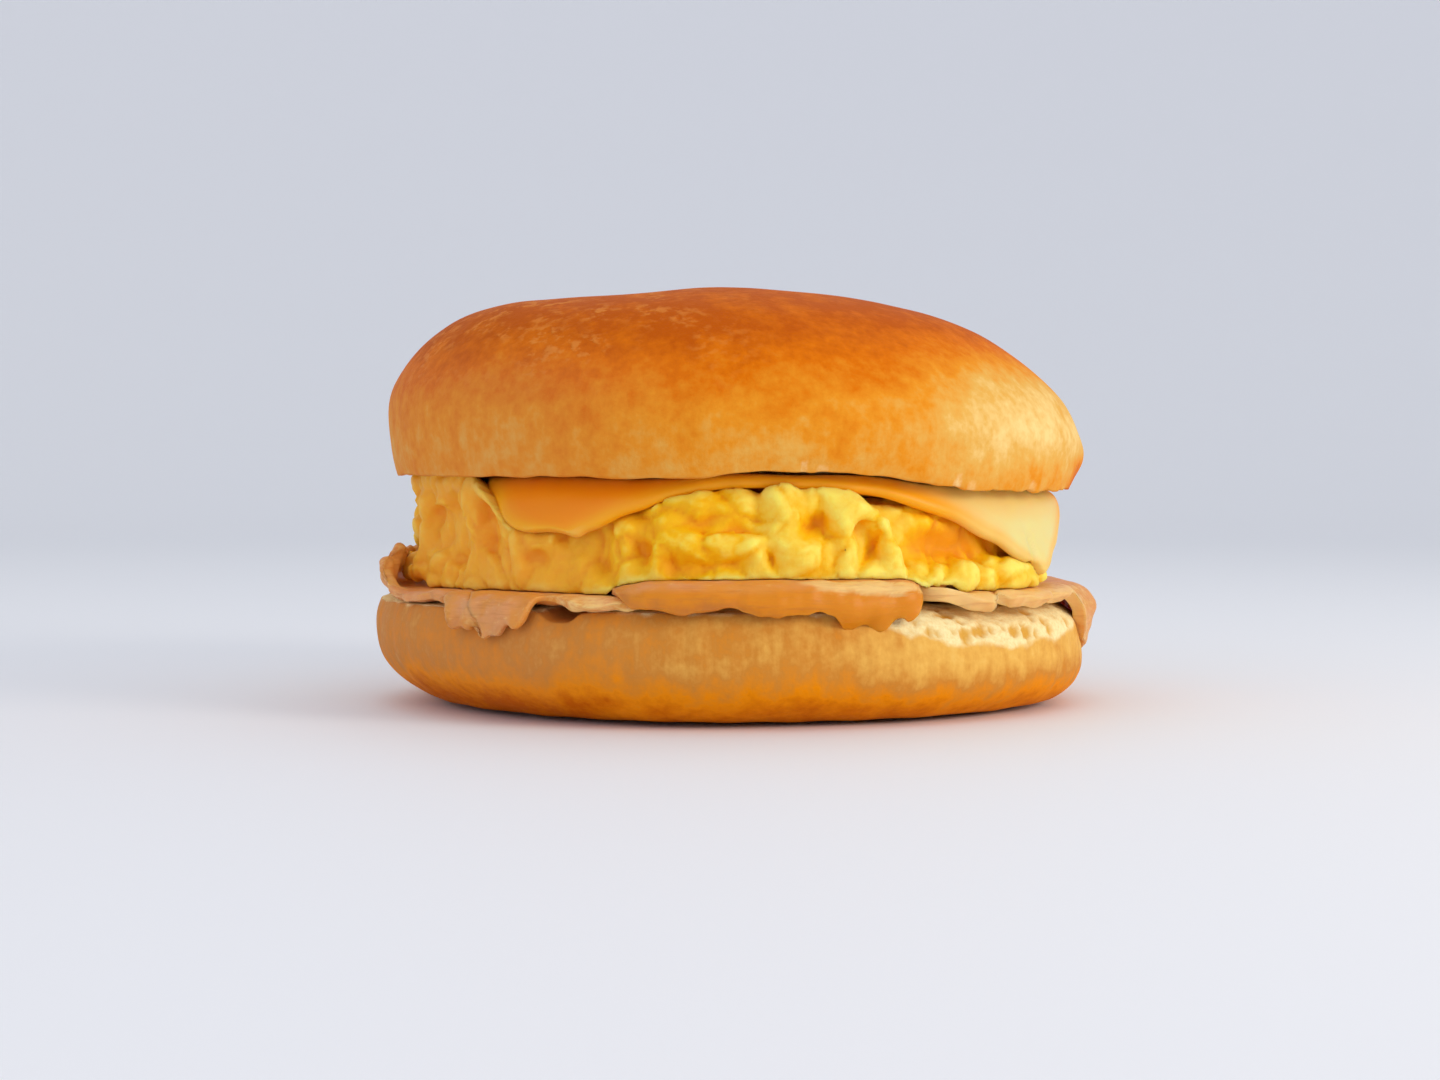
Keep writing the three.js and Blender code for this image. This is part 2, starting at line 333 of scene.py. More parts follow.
# Subdivides a piece into a rounder one
def roundOff(piece, levels):
    rounder = piece.modifiers.new("round", "SUBSURF")
    rounder.levels = rounder.render_levels = levels
    settle(piece)


# Gives a sheet its thickness, another one where the mask is set, and rounds its edges
def thicken(piece, thickness, edgeThickness, mask):
    most = max(thickness, edgeThickness)
    full = piece.vertex_groups.new(name="full")
    for i, value in enumerate(readMask(piece.data, mask)):
        full.add([i], between((thickness, edgeThickness), value) / most, "REPLACE")
    wall = piece.modifiers.new("wall", "SOLIDIFY")
    wall.vertex_group = "full"
    wall.thickness = most * mm
    wall.offset = 0
    roundOff(piece, 1)


# A node's mesh with its vertices joined and its triangles paired, subdivided into a smooth piece
def smoothCopy(name, node, levels):
    flatAngle, sharpAngle, crease = math.radians(40), math.radians(50), 0.6
    shape = bmesh.new()
    shape.from_mesh(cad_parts[node].data)
    bmesh.ops.remove_doubles(shape, verts=shape.verts, dist=0.002 * mm)
    creaseLayer = shape.edges.layers.float.new("crease_edge")
    bmesh.ops.join_triangles(shape, faces=shape.faces, angle_face_threshold=flatAngle,
                             angle_shape_threshold=math.pi)
    for edge in shape.edges:
        if edge.calc_face_angle(0) > sharpAngle:
            edge[creaseLayer] = crease
    mesh = bpy.data.meshes.new(name)
    shape.to_mesh(mesh)
    shape.free()
    piece = newPiece(name, mesh)
    roundOff(piece, levels)
    return piece


def finishPiece(piece, material, node):
    piece.data.materials.clear()
    piece.data.materials.append(material)
    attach(piece, "root")
    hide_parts(node)


# How deep round pits reach at each point: their centres are chosen among the points where the mask is set
def pits(points, mask, count, radii, seed):
    draw = np.random.default_rng(seed)
    inside = np.flatnonzero(mask > 0.5)
    centres = points[draw.choice(inside, count)]
    sizes = between(radii, draw.random(count) ** 2.5)   # mostly small ones
    finder = KDTree(count)
    for i, centre in enumerate(centres):
        finder.insert(centre, i)
    finder.balance()
    depth = np.zeros(len(points))
    for i in np.flatnonzero(mask > 0.05):
        for _, k, distance in finder.find_range(points[i], radii[1]):
            depth[i] = max(depth[i], sizes[k] * math.sqrt(max(0, 1 - (distance / sizes[k]) ** 2)))
    return depth


# Bun finish: the mask "bake" browns the crust, a second mask greys the left side as a painted reflection of
# a pale wall, and "crumb" says where crumb shows

crustSettings = {
    # Pale to brown, for the steps of the mask "bake" under them
    "topTones": [(246, 212, 138), (232, 178, 86), (234, 148, 36), (222, 114, 6), (194, 88, 3)],
    "bottomTones": [(246, 208, 120), (236, 182, 88), (210, 138, 54), (242, 146, 10), (208, 104, 2)],
    "steps": (-0.3, 0, 0.34, 0.68, 1),
    "uneven": (0.5, 0.6, 0.4, 0.55),  # shares of blotches, mottles, specks and streaks
    "blister": colour(232, 146, 62),
    # painted reflection: the grey a pale wall lends the left side
    "dull": colour(190, 118, 110),
    "crumb": colour(255, 239, 181),
    # painted shade: the darker tone in the crumb's pits
    "pore": colour(222, 166, 70),
    "sheen": (1, 0.66, 0.3, 1),
    "roughness": 0.58,
    "gloss": 0.04,
}


def crustFinish(name, tones, contrast, s):
    f = Finish(name)
    tones = [colour(*tone) for tone in tones]
    blotch = f.noise(8, 3, 0.6) - 0.5
    mottle = f.noise(3, 3, 0.6, shift=14) - 0.5
    speck = f.noise(1.3, 3, 0.6, shift=4) - 0.5
    streak = (f.noise(1.7, 3, 0.6, shift=9, stretch=(1, 1, 6)) - 0.5) * f.mask("side")
    blotches, mottles, specks, streaks = s["uneven"]
    uneven = blotch * blotches + mottle * mottles + speck * specks + streak * streaks
    bake = f.mask("bake") + uneven * contrast
    low, high = s["steps"][0], s["steps"][-1]
    stops = [(step - low) / (high - low) for step in s["steps"]]
    crust = f.ramp((bake - low) * (1 / (high - low)), list(zip(stops, tones)))
    bubble = f.noise(1.1, 3, 0.55, shift=11, stretch=(1.5, 1.5, 1))
    raised = f.smooth(bubble, 0.48, 0.66) * f.mask("blister")
    crust = f.mix(raised * 0.6, crust, s["blister"])
    # painted reflection of a pale wall, greying the crust where the mask is set
    crust = f.mix(f.mask("dull"), crust, s["dull"])
    # painted shade in the crumb's pits
    crumbTone = f.mix(f.mask("pore"), s["crumb"], s["pore"])
    grain = f.noise(0.7, 3, 0.7, shift=2)
    crumbTone = f.mix(f.smooth(grain, 0.35, 0.7) * 0.35, crumbTone, tones[1])
    crumb = f.smooth(f.mask("crumb") + speck * 0.5, 0.2, 0.8)
    height = f.noise(0.45, 3, 0.6, shift=6) * (1 + crumb) + streak * 0.8 + raised * 0.7
    f.set({
        "Base Color": f.mix(crumb, crust, crumbTone),
        "Roughness": s["roughness"] + crumb * 0.4 + speck * 0.15,
        "Specular IOR Level": s["gloss"],
        "Specular Tint": s["sheen"],
        "Normal": f.bump(height, 0.12, 0.7),
    })
    return f.material


# Bottom bun

bottomSettings = {
    "levels": 3,
    "swell": (0.45, 19),          # height and size of the slow lumps
    "dimple": (0.16, 6),
    "wrinkle": (0.2, 1.9),        # upright wrinkles of the side
    "rimLift": 0.75,              # the cut rim stands up to the meat
    "shoulder": (0.6, -20, 20),   # and is fuller at the right
    "gap": (1.5, -116.5, 3),      # dent under the left slice
    "crumbBand": (-38, 27),       # degrees round the bun: the crumb shows at the front right
    "crumbLevel": 10.6,           # its lower limit there
    "pores": 900,
    "poreRadii": (0.2, 1.1),
    "poreDepth": 0.6,
    "seed": 5,
    "contrast": 0.78,             # how uneven the crust's colour is
    "bake": (0.32, 0.48),         # browning of the side, and how much more at the base
    "darkerLeftBase": (0.25, -140, 30),   # the left is darker at the base
    "paleAndLitSide": (-35, 38),        # and the front right is paler: partly paler crust, partly painted light from the right
    "paler": (0.32, -0.02),       # by how much, high up and at the base
    # painted reflection of a pale wall, high up on the left
    "dull": (0.16, -150, 45),
}


def makeBottomBun(s):
    piece = smoothCopy("bottomBun", "bottom_bun", s["levels"])
    points, normals = readPoints(piece.data), readNormals(piece.data)
    angle = np.arctan2(points[:, 1], points[:, 0])
    level = points[:, 2]
    side = smooth(1 - np.abs(normals[:, 2]), 0.1, 0.5)
    base = smooth(-normals[:, 2], 0.5, 0.9) * smooth(level, 1.5, 0.4)
    face = smooth(normals[:, 2], 0.8, 0.97)
    band = near(angle, *s["crumbBand"])
    ragged = field(points, 3, 3.1) * 0.9
    bandFloor = roll["bottomThickness"] - band * (roll["bottomThickness"] - s["crumbLevel"])
    crumb = np.maximum(face, smooth(level + ragged, bandFloor - 1.5, bandFloor + 0.9))
    reach = np.hypot(points[:, 0], points[:, 1])
    gap = around(angle, 0, s["gap"]) * smooth(reach, 40, 46)
    crumb *= 1 - smooth(gap, 0, 0.4)
    upright = unrolled(angle, level, 1, 0.14)
    relief = lumps(points, s["swell"]) + lumps(points, s["dimple"], 7)
    relief += side * (1 - crumb) * lumps(upright, s["wrinkle"], 2.3)
    relief *= 1 - base
    pore = pits(points, crumb * (reach > 36), s["pores"], s["poreRadii"], s["seed"])
    relief -= s["poreDepth"] * pore * smooth(crumb, 0.3, 0.8)
    relief += crumb * 0.14 * field(points, 1.3, 5.5)
    relief += around(angle, 0, s["shoulder"]) * smooth(level, 9, 12.5)
    moved = points + normals * relief[:, None]
    moved[:, 2] += (s["rimLift"] * smooth(reach, 36, 44) - gap) * smooth(level, 9, 15)
    writePoints(piece.data, moved)
    toBase = smooth(level + 1.6 * field(upright, 2.6, 4.4), 9, 1.5)
    bake = s["bake"][0] + around(angle, s["bake"][1], s["darkerLeftBase"]) * toBase
    bake += 0.12 * field(points, 14, 1.7)
    # paler at the front right: partly paler crust, partly painted light from the right
    bake -= near(angle, *s["paleAndLitSide"]) * between(s["paler"], toBase)
    writeMasks(piece.data, {
        "bake": np.clip(bake, 0, 1),
        # painted reflection, high up on the left
        "dull": around(angle, 0, s["dull"]) * (1 - toBase),
        "crumb": crumb,
        # painted shade in the pits
        "pore": smooth(pore, 0.15, 0.9),
        "side": side,
    })
    finish = crustFinish("bottomCrust", crustSettings["bottomTones"], s["contrast"], crustSettings)
    finishPiece(piece, finish, "bottom_bun")
    return piece


bottomBun = makeBottomBun(bottomSettings)
print("bottom bun shaped", len(bottomBun.data.polygons))

# Top bun

topSettings = {
    "levels": 3,
    "swell": (0.4, 24),
    "dimple": (0.12, 7),
    "wrinkle": (0.12, 1.7),
    "rimNotch": (0.35, 4),        # uneven cut edge
    "shoulder": 0.9,              # fullness of the sides halfway up
    "lip": (0.9, (-0.45, -98, 40), (0.4, -38, 11)),   # how far the cut edge sags over the filling
    "arch": (1.2, -76, 17),       # and where it lifts off the filling
    "dent": {"middle": (-19, -6), "radius": 13, "depth": 0.8},
    "tears": [(-79, 1), (-76, 1.4), (-52, 1), (-49, 1.2), (-34, 1.5)],   # torn spots of the cut edge
    "crinkle": (0.3, -35, 24),    # fine creases above it
    "pores": 700,
    "poreRadii": (0.3, 1.2),
    "poreDepth": 0.7,
    "seed": 8,
    "contrast": 1,
    "bake": (0.3, 0.66),          # browning at the cut edge, and how much more at the top
    "paleAndLitSide": (0.3, -34, 32),   # the front right is paler: partly less baked crust, partly painted light from the right
    "paintedHighlightPatch": (0.4, -32, 23),  # and a painted highlight halfway up, where the light from the right falls
    "paleEdge": (0.1, -88, 9),
    "brownEdge": (0.5, -10, 6),
    "blisters": (-130, 40),
    # painted reflection of a pale wall on the left side
    "dull": (0.14, -150, 45),
}


# Height of the top bun's cut face
def cutLevel(x):
    return roll["cutHeight"] - math.tan(roll["crownTilt"]) * (x - roll["crownShift"])


def makeTopBun(s):
    piece = smoothCopy("topBun", "top_bun", s["levels"])
    points, normals = readPoints(piece.data), readNormals(piece.data)
    angle = np.arctan2(points[:, 1], points[:, 0] - roll["crownShift"])
    above = points[:, 2] - cutLevel(points[:, 0])
    rise = above / roll["crownThickness"]
    face = smooth(-normals[:, 2], 0.5, 0.85) * smooth(above, 2, 0.6)
    side = 0.6 * smooth(rise, 0.5, 0.2) * (1 - face)
    rim = smooth(above, 1.6, 0.2)
    reach = np.hypot(points[:, 0] - roll["crownShift"], points[:, 1])
    toRim = reach - rollRadius(angle)
    torn = sum(near(angle, centre, half) for centre, half in s["tears"])
    tear = 0.42 * torn * smooth(above + field(points, 1.6, 8.1), 2.6, 0.8)
    crumb = np.maximum(face * smooth(above, 0.5, 0.1) * smooth(toRim, -3.5, -6), tear)
    upright = unrolled(angle, above, 1, 0.14)
    relief = lumps(points, s["swell"], 1.3) + lumps(points, s["dimple"], 6)
    relief += side * lumps(upright, s["wrinkle"], 3.7)
    relief += s["shoulder"] * smooth(rise, 0.15, 0.45) * smooth(rise, 0.98, 0.75)
    dent = s["dent"]
    toDent = np.hypot(points[:, 0] - dent["middle"][0], points[:, 1] - dent["middle"][1]) / dent["radius"]
    relief -= dent["depth"] * np.exp(-toDent ** 2) * smooth(rise, 0.5, 0.9)
    relief -= 0.25 * tear
    relief += around(angle, 0, s["crinkle"]) * smooth(above, 4.5, 0.5) * field(upright, 1.3, 6.6)
    pore = pits(points, face * (reach > 38), s["pores"], s["poreRadii"], s["seed"])
    relief -= s["poreDepth"] * pore * smooth(crumb, 0.3, 0.8)
    moved = points + normals * relief[:, None]
    moved[:, 2] += rim * lumps(points, s["rimNotch"], 9.2)
    low = smooth(above, 5, 0)
    moved[:, 2] -= around(angle, *s["lip"]) * smooth(toRim, -5.5, -2) * low
    moved[:, 2] += around(angle, 0, s["arch"]) * smooth(toRim, -17, -8) * low
    writePoints(piece.data, moved)
    bake = s["bake"][0] + s["bake"][1] * smooth(rise, 0.1, 0.8) + 0.1 * field(points, 16, 2.9)
    # paler at the front right: partly less baked crust, partly painted light from the right
    bake -= around(angle, 0, s["paleAndLitSide"]) * smooth(rise, 0.85, 0.4) * (0.4 + 0.6 * smooth(rise, 0, 0.3))
    # painted highlight halfway up the front right
    bake -= around(angle, 0, s["paintedHighlightPatch"]) * smooth(rise, 0.8, 0.45) * smooth(rise, 0, 0.35)
    bake -= around(angle, 0, s["paleEdge"]) * smooth(rise, 0.4, 0.1)
    bake += around(angle, 0, s["brownEdge"]) * smooth(above, 5, 3)
    blister = near(angle, *s["blisters"]) * smooth(rise, 0.3, 0.6)
    writeMasks(piece.data, {
        "blister": blister * smooth(field(points, 6, 5.1), -0.4, 0.3),
        "bake": np.clip(bake, -0.3, 1),
        # painted reflection on the left side, below the top
        "dull": around(angle, 0, s["dull"]) * smooth(rise, 0.7, 0.4),
        "crumb": crumb,
        # painted shade in the pits
        "pore": smooth(pore, 0.15, 0.9),
        "side": side,
    })
    finish = crustFinish("topCrust", crustSettings["topTones"], s["contrast"], crustSettings)
    finishPiece(piece, finish, "top_bun")
    return piece


topBun = makeTopBun(topSettings)
print("top bun shaped", len(topBun.data.polygons))

# Cheese slice: laid on the egg, with its corners hanging over the egg's side

cheeseSettings = {
    "cells": 72,
    "side": 84,
    "thickness": 2,
    "edgeThickness": 1.6,
    "turn": math.radians(11),
    "shift": (2.6, 0.4),
    "level": -1.35,            # its middle from the top bun's cut face
    "cornerIn": 0.069,         # share by which the softened corners draw in
    "cornerPower": 4,
    "bendInset": 4.7,
    "bendRadius": 3.4,
    "bend": (68, (-52, -82, 14)),   # degrees: nearly flat in the middle of the front
    "arch": (1.35, -78, 22),   # follows the bun's edge up there
    "front": 2.8,              # middle of the front edge, drawn forwards
    "waver": (0.7, 6),         # uneven edge
    "bulge": 2.2,              # left side, close to the front corner
    "tip": (4.6, -0.3),        # front left corner, drawn to the right
    "sag": (0.3, 11),
    "crease": {"angle": -34.5, "half": 0.9, "depth": 0.5, "top": 27},
    "light": (0.02, 0.87),     # painted light: pale at the right where the light falls, deep orange at the left in shade
    "paintedEdgeLight": (0.4, -0.35),   # painted light on its edge: how much paler it is at the left, and darker at the right
    # painted light: paler lower down, below the top bun's shade
    "lowerPaintedLight": 0.25,
    # tones for the painted light: deep orange in shade, pale where the light falls
    "deepShadeTone": colour(252, 144, 0),
    "tone": colour(252, 171, 18),
    "paleLitTone": colour(234, 217, 140),
}


def cheeseFinish(s):
    f = Finish("cheese")
    cloud = f.noise(7, 2)
    speck = f.noise(0.5, 2, shift=3)
    # painted light and shade from the mask, with random tone on top
    tone = f.ramp(f.mask("light") + (cloud - 0.5) * 0.2, [(0, s["deepShadeTone"]), (0.5, s["tone"]), (1, s["paleLitTone"])])
    f.set({
        "Base Color": tone,
        "Roughness": 0.34 + cloud * 0.16,
        "Specular IOR Level": 0.25,
        "Subsurface Weight": 0.35,
        "Subsurface Radius": (1, 0.55, 0.15),
        "Subsurface Scale": 3 * mm,
        "Normal": f.bump(speck, 0.03, 0.5),
    })
    return f.material


def makeCheese(s):
    half = s["side"] / 2
    share = np.linspace(-1, 1, s["cells"] + 1)
    u, v = np.meshgrid(share, share)
    border = np.maximum(np.abs(u), np.abs(v))
    waver = sheetLumps(u * half, v * half, s["waver"], 6.1) * border ** 6
    spread = half * (1 - s["cornerIn"] * np.abs(u * v) ** s["cornerPower"]) + waver
    tip = np.exp(-((u + 1) / 0.17) ** 2 - ((v + 1) / 0.17) ** 2)
    bulge = np.exp(-((v + 0.8) / 0.17) ** 2) * smooth(-u, 0.6, 1)
    across = u * spread + s["tip"][0] * tip - s["bulge"] * bulge
    along = v * spread + s["tip"][1] * tip - s["front"] * np.exp(-(u / 0.4) ** 2) * smooth(-v, 0.5, 1)
    x = across * math.cos(s["turn"]) - along * math.sin(s["turn"]) + s["shift"][0]
    y = across * math.sin(s["turn"]) + along * math.cos(s["turn"]) + s["shift"][1]
    sag = sheetLumps(u * half, v * half, s["sag"], 3.3)
    aim = np.arctan2(y, x)
    start, bend = eggRadius(aim) - s["bendInset"], np.radians(around(aim, *s["bend"]))
    arch = around(aim, 0, s["arch"]) * smooth(np.hypot(x, y), 35, 44)
    hung = drape(x, y, start, bend, s["bendRadius"], s["level"] + sag + arch)
    x, z = hung[..., 0] + roll["eggShift"] - roll["crownShift"], hung[..., 2]
    tilt = roll["crownTilt"]
    hung[..., 0] = roll["crownShift"] + x * math.cos(tilt) + z * math.sin(tilt)
    hung[..., 2] = roll["cutHeight"] - x * math.sin(tilt) + z * math.cos(tilt)
    edge = smooth(half * (1 - border), 3, 0.9)
    piece = gridPiece("cheeseSlice", hung, {"edge": edge})
    thicken(piece, s["thickness"], s["edgeThickness"], "edge")
    points, normals = readPoints(piece.data), readNormals(piece.data)
    angle = np.arctan2(points[:, 1], points[:, 0] - roll["eggShift"])
    fold = s["crease"]
    groove = near(angle, fold["angle"], fold["half"]) * smooth(points[:, 2], fold["top"], fold["top"] - 3)
    points -= normals * (fold["depth"] * groove)[:, None]
    writePoints(piece.data, points)
    # Painted light: pale towards the lit right, deep orange at the shaded left, a lighter painted edge at
    # the left, paler lower down below the top bun's shade
    right = smooth(points[:, 0], 0, 38)
    light = between(s["light"], right) + readMask(piece.data, "edge") * between(s["paintedEdgeLight"], right)
    light += s["lowerPaintedLight"] * smooth(points[:, 2], 29, 24)
    writeMasks(piece.data, {"light": np.clip(light, 0, 1)})
    finishPiece(piece, cheeseFinish(s), "cheese_slice")
    return piece


cheeseSlice = makeCheese(cheeseSettings)
print("cheese draped", len(cheeseSlice.data.polygons))

# Meat slices: thin, draped over the bottom bun's rim
# Angles are in degrees: -90 is the front and 180 the left end

meatSettings = {
    "thickness": 1.5,
    "lowerLevel": 16.75,
    "upperLevel": 18.85,
    "cells": 30,
    "ragged": (1.1, 5),             # uneven edge: depth and size
    "frayed": (0.5, 1.8),           # and its finer part
    "ruffle": (0.5, 5.5),
    "pleat": (0.12, 2.2),
    "fold": (0.3, 1.7, 7),          # level folds of what hangs: depth, height and length
    "uprightPleat": (1.7, 9),       # its upright pleats: length and height
    "tone": colour(228, 150, 62),
    "pink": colour(226, 156, 98),
    # pale fat, also used for painted light and painted highlights
    "fatAndPaintedLightTone": colour(248, 208, 134),
    "brown": colour(188, 112, 42),
    # painted shade: the orange of what hangs over the rim
    "hung": colour(222, 136, 10),
}

# Each slice lists where it shows pale fat and painted light, painted light inside its curl, a painted
# highlight on its roll and painted shade where it hangs
meatSlices = {
    "meatSliceLeft": {
        "node": "meat_slice_left", "level": "lowerLevel", "middle": (-33.5, -4), "half": (26, 47.5),
        "squareness": 7, "low": [], "bendRadius": 2.2, "rimThickness": 0.8, "inset": (1.6, (2.6, 180, 26)),
        "overhang": (1, (5, -132, 3.5), (6.6, -126.2, 3), (4.5, -122, 1.8), (0.8, -106, 10), (14, 180, 22)),
        "turn": (12, (66, -121, 17), (-152, 180, 24)), "ragged": 1.4, "pleats": 0.7,
        "blunt": [(1, -106, 9)], "notches": [(1, -116.5, 2.6), (1.4, -129.4, 1.1), (1.2, -123.6, 0.9)],
        "fatty": [(0.3, 180, 30), (0.9, -106, 10)], "paintedLightInside": [(1.4, 180, 30)], "crest": [],
        "hang": 0.1, "sear": [(0.5, 180, 30), (0.4, -137, 7), (0.3, -124, 8)],
    },
    "meatSliceRight": {
        "node": "meat_slice_right", "level": "lowerLevel", "middle": (33.5, 4.8), "half": (29.6, 45),
        "squareness": 2.2, "low": [(-0.3, -42, 22), (-0.5, -57, 5)], "bendRadius": 3.2, "rimThickness": 1.9,
        "inset": (1.9, (1, -22, 12)),
        "overhang": (1, (1.6, -38, 20), (4.5, -60, 1.3), (30, 3, 18)),
        "turn": (14, (50, -42, 26), (100, 3, 26)), "ragged": 1, "pleats": 0.1,
        "blunt": [], "notches": [(1.6, -45, 0.8), (0.6, -31, 0.8)], "fatty": [(1, -40, 26), (0.35, 3, 22)],
        "paintedLightInside": [], "crest": [], "hang": 0.45, "sear": [],
    },
    "meatSliceMiddle": {
        "node": "meat_slice_middle", "level": "upperLevel", "middle": (7.5, -8), "half": (22.5, 50),
        "squareness": 9, "low": [(0.5, -112, 9)], "bendRadius": 2.5, "rimThickness": 0.9, "inset": (2.2,),
        "overhang": (1.4, (4.6, -88, 24), (6.4, -67, 7)), "turn": (10, (104, -92, 24), (78, -66, 8)),
        "ragged": 0.8, "pleats": 0.3, "blunt": [], "fatty": [(0.2, -66, 8)], "paintedLightInside": [],
        "notches": [(3.5, -56, 3), (1.2, -64, 1.2), (1.2, -69.5, 1.3), (0.8, -74, 1)],
        "crest": [(1, -68, 12)], "hang": 1, "sear": [(0.5, -97, 16), (0.3, -68, 8)],
    },
}


def meatFinish(s):
    f = Finish("meat")
    cloud = f.noise(6, 3, 0.6)
    fibre = f.noise(0.8, 4, 0.65, shift=3, stretch=(3.5, 1, 1))
    grain = f.noise(0.55, 3, 0.6, shift=6, stretch=(9, 9, 1))
    seared = f.smooth(f.mask("sear") + (f.noise(2.5, 3, shift=8) - 0.5) * 0.7, 0.35, 0.9)
    tone = f.mix(f.smooth(cloud, 0.4, 0.62), s["tone"], s["pink"])
    # pale fat along the fibres, more where the mask marks pale fat and painted light
    tone = f.mix(f.smooth(fibre + f.mask("fatty") * 0.5, 0.55, 0.85) * 0.8, tone, s["fatAndPaintedLightTone"])
    # painted shade where the slice hangs over the rim
    tone = f.mix(f.smooth(f.mask("hang") + (cloud - 0.5) * 0.8, 0.1, 0.9), tone, s["hung"])
    # painted highlight along the top of the rolled edge
    tone = f.mix(f.smooth(f.mask("crest") + (cloud + grain - 1) * 0.9, 0.35, 0.85) * 0.9, tone, s["fatAndPaintedLightTone"])
    tone = f.mix(f.smooth(grain, 0.5, 0.75) * 0.35, tone, s["brown"])
    tone = f.mix(seared, tone, s["brown"])
    f.set({
        "Base Color": tone,
        "Roughness": 0.34 + cloud * 0.2,
        "Specular IOR Level": 0.3,
        "Subsurface Weight": 0.35,
        "Subsurface Radius": (1, 0.65, 0.4),
        "Subsurface Scale": 2.6 * mm,
        "Normal": f.bump(fibre + grain, 0.12, 0.7),
    })
    return f.material


def rippleLevel(x, y):
    return 0.18 * np.sin(x / 6.5) + 0.12 * np.sin(y / 5 + x / 11)


# Share of the way out and direction for each point of a square grid that fills a round sheet
def discGrid(cells):
    steps = np.arange(-cells, cells + 1)
    i, j = np.meshgrid(steps, steps)
    ring = np.maximum(np.abs(i), np.abs(j))
    u, v = i / np.maximum(ring, 1), j / np.maximum(ring, 1)
    right = np.where(u > 0, v, 4 - v)
    upper = np.where(v > 0, 2 - u, 6 + u)
    return 1 - (1 - ring / cells) ** 1.7, np.where(np.abs(u) >= np.abs(v), right, upper) * math.pi / 4


# The slice's edge lying flat, held back at the bun's rim as far as the slice hangs over there
def meatOutline(form, s, direction, seed):
    power = form["squareness"]
    corner = (np.abs(np.cos(direction)) ** power + np.abs(np.sin(direction)) ** power) ** (-1 / power)
    reach = corner * (1 + 0.02 * np.cos(5 * direction + 1.1) + 0.014 * np.cos(8 * direction + 1))
    x = form["middle"][0] + reach * np.cos(direction) * form["half"][0]
    y = form["middle"][1] + reach * np.sin(direction) * form["half"][1]
    aim, far = np.arctan2(y, x), np.hypot(x, y)
    start = rollRadius(aim) - around(aim, *form["inset"])
    most = around(aim, *form["overhang"])
    held = np.minimum(far, start) + most * (1 - np.exp(-np.maximum(0, far - start) / most))
    uneven = sheetLumps(x, y, s["ragged"], seed) + sheetLumps(x, y, s["frayed"], seed + 5)
    held += form["ragged"] * uneven - around(aim, 0, *form["notches"])
    return held * np.cos(aim), held * np.sin(aim)


def makeMeatSlice(name, form, s, finish, seed):
    share, direction = discGrid(s["cells"])
    edge = meatOutline(form, s, direction, seed)
    x, y = [middle + share * (far - middle) for middle, far in zip(form["middle"], edge)]
    aim = np.arctan2(y, x)
    start = rollRadius(aim) - around(aim, *form["inset"])
    ruffle = sheetLumps(x, y, s["ruffle"], seed + 2) * smooth(share, 0.7, 1)
    level = s[form["level"]] - around(aim, 0, *form["low"]) + rippleLevel(x, y) + ruffle
    turn = np.radians(around(aim, *form["turn"]))
    hung = drape(x, y, start, turn, form["bendRadius"], level)
    over = np.hypot(x, y) - start
    rim = smooth(share, 0.93, 1) * (1 - around(aim, 0, *form["blunt"]))
    piece = gridPiece(name, hung, {"rim": rim, "over": over})
    thicken(piece, s["thickness"], form["rimThickness"], "rim")
    points, normals = readPoints(piece.data), readNormals(piece.data)
    angle = np.arctan2(points[:, 1], points[:, 0])
    rim, over = readMask(piece.data, "rim"), readMask(piece.data, "over")
    depth, height, length = s["fold"]
    lengthwise = unrolled(angle, points[:, 2], 1 / length, 1 / height)
    relief = lumps(points, s["pleat"], seed + 4)
    relief += depth * smooth(over, 0, 2) * field(lengthwise, 1, seed + 6)
    length, height = s["uprightPleat"]
    upright = unrolled(angle, points[:, 2], 1 / length, 1 / height)
    relief += form["pleats"] * smooth(over, 0.5, 3) * field(upright, 1, seed + 7)
    points += normals * relief[:, None]
    writePoints(piece.data, points)
    inward = smooth(-normals[:, 0] * np.cos(angle) - normals[:, 1] * np.sin(angle), 0, 0.5)
    # pale fat, with painted light on the left curl; its inward faces get painted light where shade falls
    fatty = around(angle, 0, *form["fatty"]) * (0.5 + 0.5 * rim)
    writeMasks(piece.data, {
        "sear": around(angle, 0.15, *form["sear"]) * (0.12 + 0.88 * rim) * smooth(over, -6, 0),
        "fatty": fatty + around(angle, 0, *form["paintedLightInside"]) * inward,
        # painted highlight along the top of the bend
        "crest": around(angle, 0, *form["crest"]) * np.exp(-((over - 1.2) / 1.5) ** 2),
        # painted shade where it hangs over the rim
        "hang": form["hang"] * smooth(over, 0.8, 3.4),
    })
    finishPiece(piece, finish, form["node"])
    return piece


meatFinished = meatFinish(meatSettings)
meatPieces = [makeMeatSlice(name, form, meatSettings, meatFinished, 1.7 + 3 * k)
              for k, (name, form) in enumerate(meatSlices.items())]
print("meat slices draped", [len(piece.data.polygons) for piece in meatPieces])

# Scrambled egg: folds and curds on a core, melted into one mass

